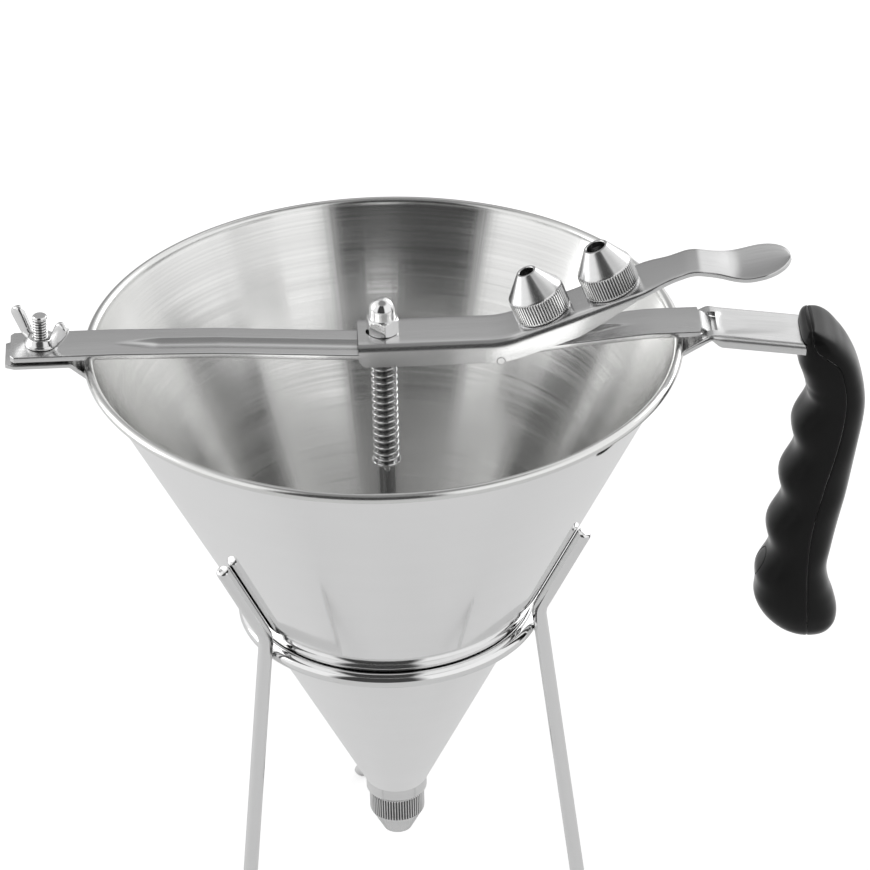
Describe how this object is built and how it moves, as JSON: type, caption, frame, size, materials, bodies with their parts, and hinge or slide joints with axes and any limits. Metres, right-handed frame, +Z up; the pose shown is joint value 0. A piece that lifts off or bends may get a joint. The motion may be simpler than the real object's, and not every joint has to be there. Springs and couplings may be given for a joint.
{
  "type": "batter dispenser",
  "caption": "Conical steel funnel with a thumb lever that lifts a spring-closed valve rod, spare nozzles parked on the lever, a pistol grip and a wire stand.",
  "frame": {"origin": "middle of the whole object's footprint, on the plane of the stand's feet; the funnel's axis is the vertical line x = -17.70 mm, y = 0", "axes": "+X along the crossbar towards the grip, +Z up"},
  "size_m": [0.2866, 0.2, 0.2709],
  "materials": {
    "funnel_steel": "satin, spun",
    "sheet_steel": "bright rolled sheet",
    "wire_steel": "bright wire",
    "fastener_steel": "polished",
    "spring_steel": "drawn wire",
    "nozzle_aluminium": "turned and knurled",
    "grip_plastic": "satin moulded"
  },
  "bodies": {
    "stand": {"stand_ring": "wire_steel", "stand_leg_rear": "wire_steel", "stand_leg_left": "wire_steel", "stand_leg_right": "wire_steel"},
    "funnel": {"funnel_cone": "funnel_steel", "outlet_spigot": "fastener_steel", "ear_plate": "sheet_steel", "ear_stud": "fastener_steel", "spacer_washer": "fastener_steel", "crossbar": "sheet_steel", "fulcrum_pin": "fastener_steel", "upper_washer": "fastener_steel", "return_spring": "spring_steel", "handle_strap": "sheet_steel", "grip_inner_shell": "grip_plastic", "grip_outer_shell": "grip_plastic", "grip_screws": "fastener_steel", "screw_plug_upper": "grip_plastic", "screw_plug_lower": "grip_plastic"},
    "wing_nut": {"wing_nut": "fastener_steel"},
    "lever": {"lever": "sheet_steel", "nozzle_post_near": "nozzle_aluminium", "nozzle_post_far": "nozzle_aluminium"},
    "nozzle_small": {"nozzle_small": "nozzle_aluminium"},
    "nozzle_medium": {"nozzle_medium": "nozzle_aluminium"},
    "nozzle_large": {"nozzle_large": "nozzle_aluminium"},
    "rod": {"piston_rod": "fastener_steel", "valve_plug": "fastener_steel", "lower_washer": "fastener_steel", "cross_pin": "fastener_steel", "domed_nut": "fastener_steel"}
  },
  "joints": [
    {"name": "funnel_lift", "type": "slide", "parent": "stand", "child": "funnel", "axis": [0, 0, 1], "range_m": [0, 0.14]},
    {"name": "lever_press", "type": "hinge", "parent": "funnel", "child": "lever", "pos_m": [0.021, 0, 0.2304], "axis": [0, 1, 0], "range_deg": [0, 12], "stiffness_Nm_per_rad": 1.9, "springref_deg": -13.75},
    {"name": "rod_lift", "type": "slide", "parent": "funnel", "child": "rod", "axis": [0, 0, 1], "range_m": [0, 0.0096], "deforming": ["return_spring"]},
    {"name": "wing_nut_turn", "type": "hinge", "parent": "funnel", "child": "wing_nut", "pos_m": [-0.1312, 0, 0.2379], "axis": [0, 0, 1], "continuous": true},
    {"name": "nozzle_large_turn", "type": "hinge", "parent": "funnel", "child": "nozzle_large", "pos_m": [-0.0177, 0, 0.05522], "axis": [0, 0, 1], "continuous": true},
    {"name": "nozzle_small_turn", "type": "hinge", "parent": "lever", "child": "nozzle_small", "pos_m": [0.0359, 0, 0.2429], "axis": [-0.3404, 0, 0.9403], "continuous": true},
    {"name": "nozzle_medium_turn", "type": "hinge", "parent": "lever", "child": "nozzle_medium", "pos_m": [0.0589, 0, 0.25123], "axis": [-0.3404, 0, 0.9403], "continuous": true}
  ],
  "couplings": [
    {"joint": "rod_lift", "follows": "lever_press", "m_per_rad": 0.0453}
  ]
}
